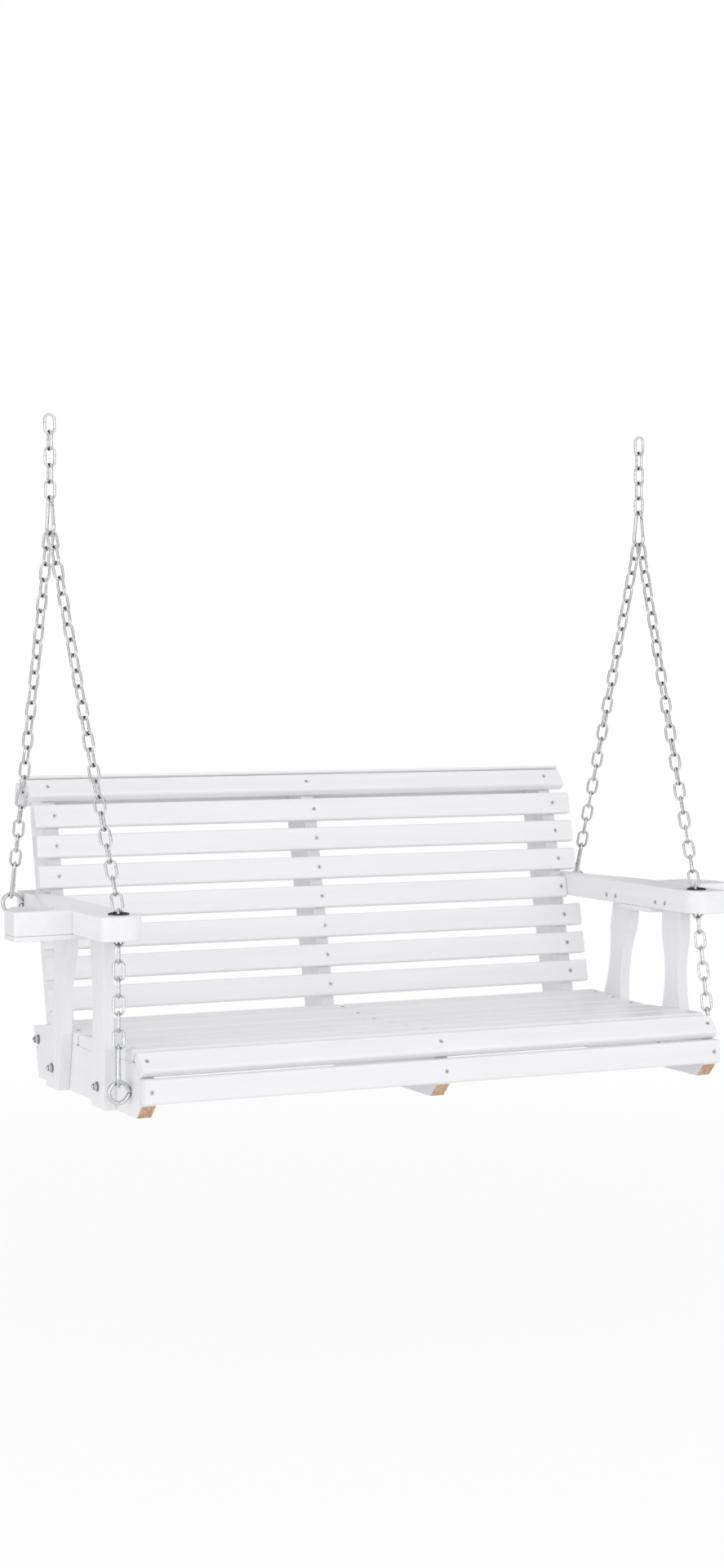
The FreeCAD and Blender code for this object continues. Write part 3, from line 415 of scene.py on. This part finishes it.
def zinc(
    name, light=ZINC_LIGHT, deep=ZINC_DEEP, dirt_and_shade=ZINC_DIRT_AND_SHADE, spangle=CHAIN_SPANGLE, roughness=ZINC_ROUGHNESS
):
    """Bright zinc plate with cloudy spangle, specks and stains, and crevices darkened by dirt and painted
    shade.
    """
    material, tree, shader = new_material(name)
    cloud = noise(
        tree, stretched(tree, (spangle, spangle, spangle)), detail=4.0, roughness=0.6, distortion=0.3
    )
    specks = noise(tree, stretched(tree, SPECK_SCALE), detail=2.0, roughness=0.6)
    stains = noise(tree, stretched(tree, STAIN_SCALE, STAIN_OFFSET), detail=3.0, roughness=0.6)
    tone = mixed(tree, spread(tree, cloud, 0.0, SPANGLE_SHARE), light, deep)
    tone = mixed(tree, spread(tree, stains, 0.0, STAIN_SHARE, STAIN_START, STAIN_END), tone, deep)
    # Dirt and painted shade: crevices and contact places darkened where shade falls
    tone = mixed(tree, shade_in_corners(tree, METAL_OPENNESS), tone, dirt_and_shade)
    tree.links.new(tone, shader.inputs["Base Color"])
    tree.links.new(spread(tree, cloud, *roughness), shader.inputs["Roughness"])
    shader.inputs["Metallic"].default_value = 1.0
    bumped(tree, shader, [(cloud, SPANGLE_RELIEF), (specks, SPECK_RELIEF)], METAL_EDGE)
    return material


def moulded_plastic(name):
    """Black moulded plastic with a fine satin texture."""
    material, tree, shader = new_material(name)
    cells = noise(tree, stretched(tree, CELL_SCALE), detail=3.0, roughness=0.6)
    clouds = noise(tree, stretched(tree, CLOUD_SCALE), detail=3.0, roughness=0.5)
    tone = mixed(tree, spread(tree, clouds, 0.0, 1.0), BLACK_LIGHT, BLACK_DEEP)
    tree.links.new(tone, shader.inputs["Base Color"])
    tree.links.new(spread(tree, clouds, *PLASTIC_ROUGHNESS), shader.inputs["Roughness"])
    bumped(tree, shader, [(cells, CELL_RELIEF)], PLASTIC_EDGE)
    return material


# A material for every node of the frame

ALONG_X = painted_wood("paint_along_x", 0)
ALONG_Y = painted_wood("paint_along_y", 1)
ALONG_Z = painted_wood("paint_along_z", 2)
SUPPORT_PAINT = painted_wood("paint_support", 1, bare_undercut=True)
CHAIN_ZINC = zinc("zinc_chain")
BOLT_ZINC = zinc("zinc_bolt", spangle=BOLT_SPANGLE)
SCREW_STEEL = zinc("steel_screw", SCREW_LIGHT, SCREW_DEEP, SCREW_DIRT_AND_SHADE, roughness=SCREW_ROUGHNESS)
GROMMET_BLACK = moulded_plastic("black_grommet")

MATERIAL_BY_START = (
    ("slat_screws", SCREW_STEEL),
    ("arm_screws", SCREW_STEEL),
    ("grommets", GROMMET_BLACK),
    ("seat_support", SUPPORT_PAINT),
    ("back_support", ALONG_Z),
    ("front_post", ALONG_Z),
    ("rear_post", ALONG_Z),
    ("arm_", ALONG_Y),
    ("cup_holder", ALONG_Y),
    ("holder_plate", ALONG_Y),
    ("seat_slat", ALONG_X),
    ("back_slat", ALONG_X),
    ("front_edge_slat", ALONG_X),
    ("apron_slat", ALONG_X),
    ("top_", ALONG_X),
    ("carriage_bolts", BOLT_ZINC),
    ("washers", BOLT_ZINC),
    ("hex_nuts", BOLT_ZINC),
    ("eye_bolts", BOLT_ZINC),
)


def material_for(name):
    """The material of a node, by the start of its name."""
    for start, material in MATERIAL_BY_START:
        if name.startswith(start):
            return material
    return CHAIN_ZINC


for name, node in nodes.items():
    node.data.materials.clear()
    node.data.materials.append(material_for(name))


# The separate solids of a node, read from the frame

class Solid:
    """One separate solid: its middle, its own axes from the longest to the shortest, and its corners."""

    def __init__(self, places, triangles):
        self.corners = places[numpy.unique(triangles)]
        first, second, third = (places[triangles[:, index]] for index in range(3))
        areas = numpy.linalg.norm(numpy.cross(second - first, third - first), axis=1) / 2
        middles = (first + second + third) / 3
        self.centre = numpy.average(middles, axis=0, weights=areas)
        # A triangle's corners and three times its middle, squared and summed, give its second moments
        ends = (first - self.centre, second - self.centre, third - self.centre)
        moment = numpy.zeros((3, 3))
        for moved in (*ends, 3 * (middles - self.centre)):
            moment += (moved * areas[:, None]).T @ moved
        _, vectors = numpy.linalg.eigh(moment)
        self.axes = vectors[:, ::-1].T

    def half_size(self, axis):
        """Half of the extent along one of its own axes."""
        reach = self.corners @ self.axes[axis]
        return float(reach.max() - reach.min()) / 2

    def placement(self):
        """Puts local Z along the longest axis and local X along the next one."""
        along = Vector(self.axes[0])
        across = Vector(self.axes[1])
        turn = Matrix((across, along.cross(across), along)).transposed().to_4x4()
        return Matrix.Translation(Vector(self.centre)) @ turn

    def from_head(self):
        """A placement with local Z from the wider end along the longest axis, and the length."""
        along = self.axes[0]
        moved = self.corners - self.centre
        reach = moved @ along
        widths = numpy.linalg.norm(moved - numpy.outer(reach, along), axis=1)
        if reach[int(numpy.argmax(widths))] > 0:
            along = -along
            reach = -reach
        start = Vector(self.centre + along * reach.min())
        turn = Vector(along).to_track_quat("Z", "Y").to_matrix().to_4x4()
        return Matrix.Translation(start) @ turn, float(reach.max() - reach.min())


def solids_of(name):
    """The separate solids of a node, in the order of their first corner."""
    mesh = bmesh.new()
    mesh.from_mesh(nodes[name].data)
    bmesh.ops.remove_doubles(mesh, verts=mesh.verts, dist=WELD_DISTANCE)
    bmesh.ops.triangulate(mesh, faces=mesh.faces)
    mesh.verts.index_update()
    mesh.verts.ensure_lookup_table()
    places = numpy.array([vertex.co for vertex in mesh.verts])
    group = numpy.full(len(places), -1)
    groups = 0
    for start in range(len(places)):
        if group[start] >= 0:
            continue
        group[start] = groups
        waiting = [start]
        while waiting:
            vertex = mesh.verts[waiting.pop()]
            for edge in vertex.link_edges:
                other = edge.other_vert(vertex).index
                if group[other] < 0:
                    group[other] = groups
                    waiting.append(other)
        groups += 1
    triangles = numpy.array([[vertex.index for vertex in face.verts] for face in mesh.faces])
    mesh.free()
    owner = group[triangles[:, 0]]
    return [Solid(places, triangles[owner == index]) for index in range(groups)]


# Meshes for the detailed pieces

class Shell:
    """Corners and faces gathered for one piece."""

    def __init__(self):
        self.corners = []
        self.faces = []

    def add(self, rings, place, closed=False):
        """A skin over rings of equal size, closed into a loop or capped at both ends."""
        sides = len(rings[0])
        count = len(rings)
        first = len(self.corners)
        self.corners.extend(place @ corner for ring in rings for corner in ring)
        for index in range(count if closed else count - 1):
            here = first + index * sides
            there = first + (index + 1) % count * sides
            for side in range(sides):
                beside = (side + 1) % sides
                self.faces.append((here + side, here + beside, there + beside, there + side))
        if not closed:
            last = first + (count - 1) * sides
            self.faces.append(tuple(range(first + sides - 1, first - 1, -1)))
            self.faces.append(tuple(range(last, last + sides)))


def make_piece(shell, node, material):
    """A smooth mesh piece that stands for a node and rides on its body."""
    mesh = bpy.data.meshes.new(f"{node}_detail")
    mesh.from_pydata(shell.corners, [], shell.faces)
    tidied = bmesh.new()
    tidied.from_mesh(mesh)
    bmesh.ops.recalc_face_normals(tidied, faces=tidied.faces)
    tidied.to_mesh(mesh)
    tidied.free()
    mesh.shade_smooth()
    mesh.set_sharp_from_angle(angle=math.radians(SMOOTH_ANGLE))
    mesh.materials.append(material)
    piece = bpy.data.objects.new(f"{node}_detail", mesh)
    bpy.context.scene.collection.objects.link(piece)
    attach(piece, BODY_OF_NODE[node])
    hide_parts(node)
    return piece


def wire_rings(path, radii, closed=False):
    """Rings round a wire whose path lies in the local XZ plane."""
    normal = Vector((0.0, 1.0, 0.0))
    count = len(path)
    rings = []
    for index, (centre, radius) in enumerate(zip(path, radii)):
        before = path[index - 1] if closed or index > 0 else centre
        after = path[(index + 1) % count] if closed or index < count - 1 else centre
        sideways = normal.cross((after - before).normalized())
        ring = []
        for side in range(WIRE_SIDES):
            angle = 2 * math.pi * side / WIRE_SIDES
            ring.append(centre + (normal * math.cos(angle) + sideways * math.sin(angle)) * radius)
        rings.append(ring)
    return rings


def turned_ring(distance, radius, angles=None):
    """A ring about local Z. The radius is a number or a function of the angle."""
    if angles is None:
        angles = [2 * math.pi * spoke / SPOKES for spoke in range(SPOKES)]
    ring = []
    for angle in angles:
        reach = radius(angle) if callable(radius) else radius
        ring.append(Vector((reach * math.cos(angle), reach * math.sin(angle), distance)))
    return ring


def threaded_rings(start, end, crest):
    """Rings of a helical thread about local Z, with a chamfered end."""
    rings = []
    steps = round((end - start - END_CHAMFER) / THREAD_PITCH * THREAD_STEPS)
    for index in range(steps + 1):
        distance = start + (end - start - END_CHAMFER) * index / steps

        def radius(angle):
            phase = (distance / THREAD_PITCH - angle / (2 * math.pi)) % 1.0
            return crest - THREAD_DEPTH * abs(2 * phase - 1)

        rings.append(turned_ring(distance, radius))
    rings.append(turned_ring(end, crest - THREAD_DEPTH - END_CHAMFER))
    return rings


# Chain links

def link_rings(half_length, half_width, wire):
    """An oval link with the swelling of its weld in the middle of one side."""
    bend = half_width - wire
    half_straight = half_length - half_width
    path = []
    radii = []
    for side in (1, -1):
        for index in range(LINK_STRAIGHT_STEPS):
            height = half_straight * (2 * index / LINK_STRAIGHT_STEPS - 1)
            swell = max(0.0, 1 - (height / WELD_HALF_LENGTH) ** 2) if side > 0 else 0.0
            path.append(Vector((side * bend, 0.0, side * height)))
            radii.append(wire * (1 + WELD_SWELL * swell))
        for index in range(LINK_BEND_STEPS):
            angle = math.pi * index / LINK_BEND_STEPS
            height = half_straight + bend * math.sin(angle)
            path.append(Vector((side * bend * math.cos(angle), 0.0, side * height)))
            radii.append(wire)
    return wire_rings(path, radii, closed=True)


def make_chains():
    """Every chain link, in one piece for each node."""
    model = solids_of("hanging_links")[0]
    rings = link_rings(*(model.half_size(axis) for axis in range(3)))
    for node in nodes:
        if "chain" not in node and "link" not in node:
            continue
        shell = Shell()
        for index, solid in enumerate(solids_of(node)):
            flipped = Matrix.Rotation(math.pi * (index % 2), 4, "Z")
            shell.add(rings, solid.placement() @ flipped, closed=True)
        make_piece(shell, node, CHAIN_ZINC)


# Screws, bolts and eye bolts

RECESS_CORNER = math.atan2(RECESS_HALF_WIDTH, RECESS_ARM)
RECESS_OFFSETS = (
    0.0,
    RECESS_CORNER,
    RECESS_MID_ANGLE,
    math.pi / 4,
    math.pi / 2 - RECESS_MID_ANGLE,
    math.pi / 2 - RECESS_CORNER,
)
RECESS_ANGLES = [quarter * math.pi / 2 + offset for quarter in range(4) for offset in RECESS_OFFSETS]


def recess_radius(angle):
    """Outline of a cross recess, as a distance from its middle."""
    folded = angle % (math.pi / 2)
    folded = min(folded, math.pi / 2 - folded)
    if folded <= RECESS_CORNER + ANGLE_TOLERANCE:
        return RECESS_ARM / math.cos(folded)
    return RECESS_HALF_WIDTH / math.sin(folded)


def screw_rings(length):
    """A countersunk screw with a cross recess, from its recess to its point."""
    def deep(angle):
        return recess_radius(angle) * RECESS_TAPER

    outline = (
        (RECESS_DEPTH, deep),
        (0.0, recess_radius),
        (0.0, SCREW_HEAD - HEAD_EDGE),
        (HEAD_EDGE, SCREW_HEAD),
        (SCREW_CONE, SCREW_SHANK),
        (length - SCREW_POINT, SCREW_SHANK),
        (length, TIP_RADIUS),
    )
    return [turned_ring(distance, radius, RECESS_ANGLES) for distance, radius in outline]


def make_screws():
    """The slat screws and the arm screws."""
    for node in ("slat_screws", "arm_screws"):
        shell = Shell()
        for solid in solids_of(node):
            place, length = solid.from_head()
            shell.add(screw_rings(length), place)
        make_piece(shell, node, SCREW_STEEL)


def make_bolts():
    """The carriage bolts, domed and threaded."""
    dome = (BOLT_HEAD ** 2 + BOLT_DOME ** 2) / (2 * BOLT_DOME)
    half_angle = math.asin(BOLT_HEAD / dome)
    head = [turned_ring(0.0, TIP_RADIUS)]
    for index in range(1, DOME_STEPS + 1):
        angle = half_angle * index / DOME_STEPS
        head.append(turned_ring(dome * (1 - math.cos(angle)), dome * math.sin(angle)))
    shell = Shell()
    for solid in solids_of("carriage_bolts"):
        place, length = solid.from_head()
        neck = [turned_ring(BOLT_DOME, BOLT_SHANK), turned_ring(length - THREAD_LENGTH, BOLT_SHANK)]
        thread = threaded_rings(length - THREAD_LENGTH, length, BOLT_SHANK)
        shell.add(head + neck + thread, place)
    make_piece(shell, "carriage_bolts", BOLT_ZINC)


def eye_path(radius):
    """A bent eye in the local XZ plane, its middle at the origin and its shank towards +X."""
    touch = math.acos(radius / EYE_POINT_REACH)
    point = Vector((EYE_POINT_REACH, 0.0, 0.0))
    high = Vector((radius * math.cos(touch), 0.0, radius * math.sin(touch)))
    low = Vector((high.x, 0.0, -high.z))
    bend = math.pi / 2 - touch
    reach = EYE_BEND_RADIUS * math.tan(bend / 2)
    start = point + Vector((reach, 0.0, 0.0))
    path = [start + Vector((SHANK_OVERLAP, 0.0, 0.0))]
    for index in range(EYE_BEND_STEPS + 1):
        angle = bend * index / EYE_BEND_STEPS
        sideways = -EYE_BEND_RADIUS * math.sin(angle)
        path.append(start + Vector((sideways, 0.0, EYE_BEND_RADIUS * (1 - math.cos(angle)))))
    for index in range(EYE_STEPS + 1):
        angle = touch + (2 * math.pi - 2 * touch) * index / EYE_STEPS
        path.append(Vector((radius * math.cos(angle), 0.0, radius * math.sin(angle))))
    path.append(low + (point - low).normalized() * ((point - low).length - EYE_END_GAP))
    return path


def make_eye_bolts():
    """The eye bolts: one bent wire whose end comes back to its threaded shank."""
    shell = Shell()
    for solid in solids_of("eye_bolts"):
        low = solid.corners.min(axis=0)
        high = solid.corners.max(axis=0)
        half_height = (high[2] - low[2]) / 2
        side = math.copysign(1.0, solid.centre[0])
        outer = high[0] if side > 0 else low[0]
        inner = low[0] if side > 0 else high[0]
        middle = Vector((outer - side * half_height, (low[1] + high[1]) / 2, (low[2] + high[2]) / 2))
        inward = Matrix.Diagonal((-side, -side, 1.0, 1.0))
        path = eye_path(half_height - EYE_WIRE)
        shell.add(wire_rings(path, [EYE_WIRE] * len(path)), Matrix.Translation(middle) @ inward)
        length = abs(middle.x - inner)
        turn = Matrix.Rotation(-side * math.pi / 2, 4, "Y")
        shank = [turned_ring(path[1].x, BOLT_SHANK), turned_ring(length - THREAD_LENGTH, BOLT_SHANK)]
        thread = threaded_rings(length - THREAD_LENGTH, length, BOLT_SHANK)
        shell.add(shank + thread, Matrix.Translation(middle) @ turn)
    make_piece(shell, "eye_bolts", BOLT_ZINC)


make_chains()
make_screws()
make_bolts()
make_eye_bolts()


# Camera, lights, floor and background

apron_low, apron_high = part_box("apron_slat")
bench = Vector(((apron_low.x + apron_high.x) / 2, apron_low.y - APRON_FRONT, apron_low.z))

camera_data = bpy.data.cameras.new("camera")
camera = bpy.data.objects.new("camera", camera_data)
bpy.context.scene.collection.objects.link(camera)
camera.location = bench + Vector(CAMERA_PLACE)
camera.rotation_euler = Euler(
    (math.radians(90.0 - CAMERA_PITCH), math.radians(CAMERA_ROLL), math.radians(-CAMERA_YAW))
)
camera_data.sensor_fit = "VERTICAL"
camera_data.sensor_height = SENSOR
camera_data.lens = FOCAL_PIXELS / PICTURE_HEIGHT * SENSOR
camera_data.shift_y = PRINCIPAL_DROP / PICTURE_HEIGHT
camera_data.clip_start = CLIP_START
bpy.context.scene.camera = camera


def area_light(name, offset, size, power):
    """A large soft lamp that looks at its aim in the middle of the bench."""
    data = bpy.data.lights.new(name, "AREA")
    data.shape = "RECTANGLE"
    data.size, data.size_y = size
    data.energy = power
    lamp = bpy.data.objects.new(name, data)
    bpy.context.scene.collection.objects.link(lamp)
    lamp.location = aim + Vector(offset)
    lamp.rotation_euler = (-Vector(offset)).to_track_quat("-Z", "Y").to_euler()


aim = bench + Vector(AIM_FROM_BENCH)
for name, (offset, size, power) in LAMPS.items():
    area_light(name, offset, size, power)


def flat_sheet(name, half_width, half_height, material):
    """A flat rectangle about the origin that belongs to the stage."""
    corners = (
        (-half_width, -half_height, 0.0),
        (half_width, -half_height, 0.0),
        (half_width, half_height, 0.0),
        (-half_width, half_height, 0.0),
    )
    mesh = bpy.data.meshes.new(name)
    mesh.from_pydata(corners, [], [(0, 1, 2, 3)])
    mesh.materials.append(material)
    sheet = bpy.data.objects.new(name, mesh)
    bpy.context.scene.collection.objects.link(sheet)
    return sheet


def dark_panel(name, offset):
    """A black studio panel that only reflections show. It gives bright metal its dark edges."""
    material, _, shader = new_material(name)
    shader.inputs["Base Color"].default_value = PANEL_COLOUR
    shader.inputs["Specular IOR Level"].default_value = 0.0
    panel = flat_sheet(name, PANEL_WIDTH / 2, PANEL_HEIGHT / 2, material)
    panel.location = aim + Vector(offset)
    panel.rotation_euler = (-Vector(offset)).to_track_quat("Z", "Y").to_euler()
    panel.visible_camera = False
    panel.visible_diffuse = False
    panel.visible_transmission = False
    panel.visible_shadow = False


for name, turn in (("panel_left", -1), ("panel_right", 1)):
    heading = math.radians(90.0 - CAMERA_YAW + turn * PANEL_TURN)
    dark_panel(name, (PANEL_DISTANCE * math.cos(heading), PANEL_DISTANCE * math.sin(heading), PANEL_RISE))


def seen_directly(tree):
    """One for the camera, reflections and clear views, nought for light that is passed on."""
    path = add(tree, "ShaderNodeLightPath")
    seen = combined(tree, "MAXIMUM", path.outputs["Is Camera Ray"], path.outputs["Is Glossy Ray"])
    return combined(tree, "MAXIMUM", seen, path.outputs["Is Transmission Ray"])


world = bpy.data.worlds.new("world")
bpy.context.scene.world = world
world.use_nodes = True
world_tree = world.node_tree
background = world_tree.nodes["Background"]
background.inputs["Color"].default_value = (1.0, 1.0, 1.0, 1.0)
heading_up = add(world_tree, "ShaderNodeSeparateXYZ")
world_place = add(world_tree, "ShaderNodeTexCoord")
world_tree.links.new(world_place.outputs["Generated"], heading_up.inputs["Vector"])
lit = spread(world_tree, heading_up.outputs["Z"], WORLD_SIDES, WORLD_TOP, WORLD_RISE, 1.0)
shown = seen_directly(world_tree)
strength = combined(world_tree, "MAXIMUM", lit, shown)
world_tree.links.new(strength, background.inputs["Strength"])


def white_floor():
    """A pale floor that keeps the object's shadow and fades to plain white with distance."""
    material, tree, shader = new_material("floor")
    shader.inputs["Base Color"].default_value = FLOOR_COLOUR
    shader.inputs["Roughness"].default_value = FLOOR_ROUGHNESS
    place = add(tree, "ShaderNodeTexCoord")
    distance = add(tree, "ShaderNodeVectorMath", operation="LENGTH")
    tree.links.new(place.outputs["Object"], distance.inputs[0])
    share = spread(tree, distance.outputs["Value"], FLOOR_NEAR, 1.0, FADE_START, FADE_END, "SMOOTHSTEP")
    share = combined(tree, "MULTIPLY", share, seen_directly(tree))
    white = add(tree, "ShaderNodeEmission")
    both = add(tree, "ShaderNodeMixShader")
    tree.links.new(share, both.inputs["Fac"])
    tree.links.new(shader.outputs["BSDF"], both.inputs[1])
    tree.links.new(white.outputs["Emission"], both.inputs[2])
    tree.links.new(both.outputs["Shader"], tree.nodes["Material Output"].inputs["Surface"])
    return material


floor = flat_sheet("floor", FLOOR_REACH, FLOOR_REACH, white_floor())
floor.location = (0.0, 0.0, loaded_box[0][2] - FLOOR_DROP)

bpy.context.scene.view_settings.view_transform = "Standard"
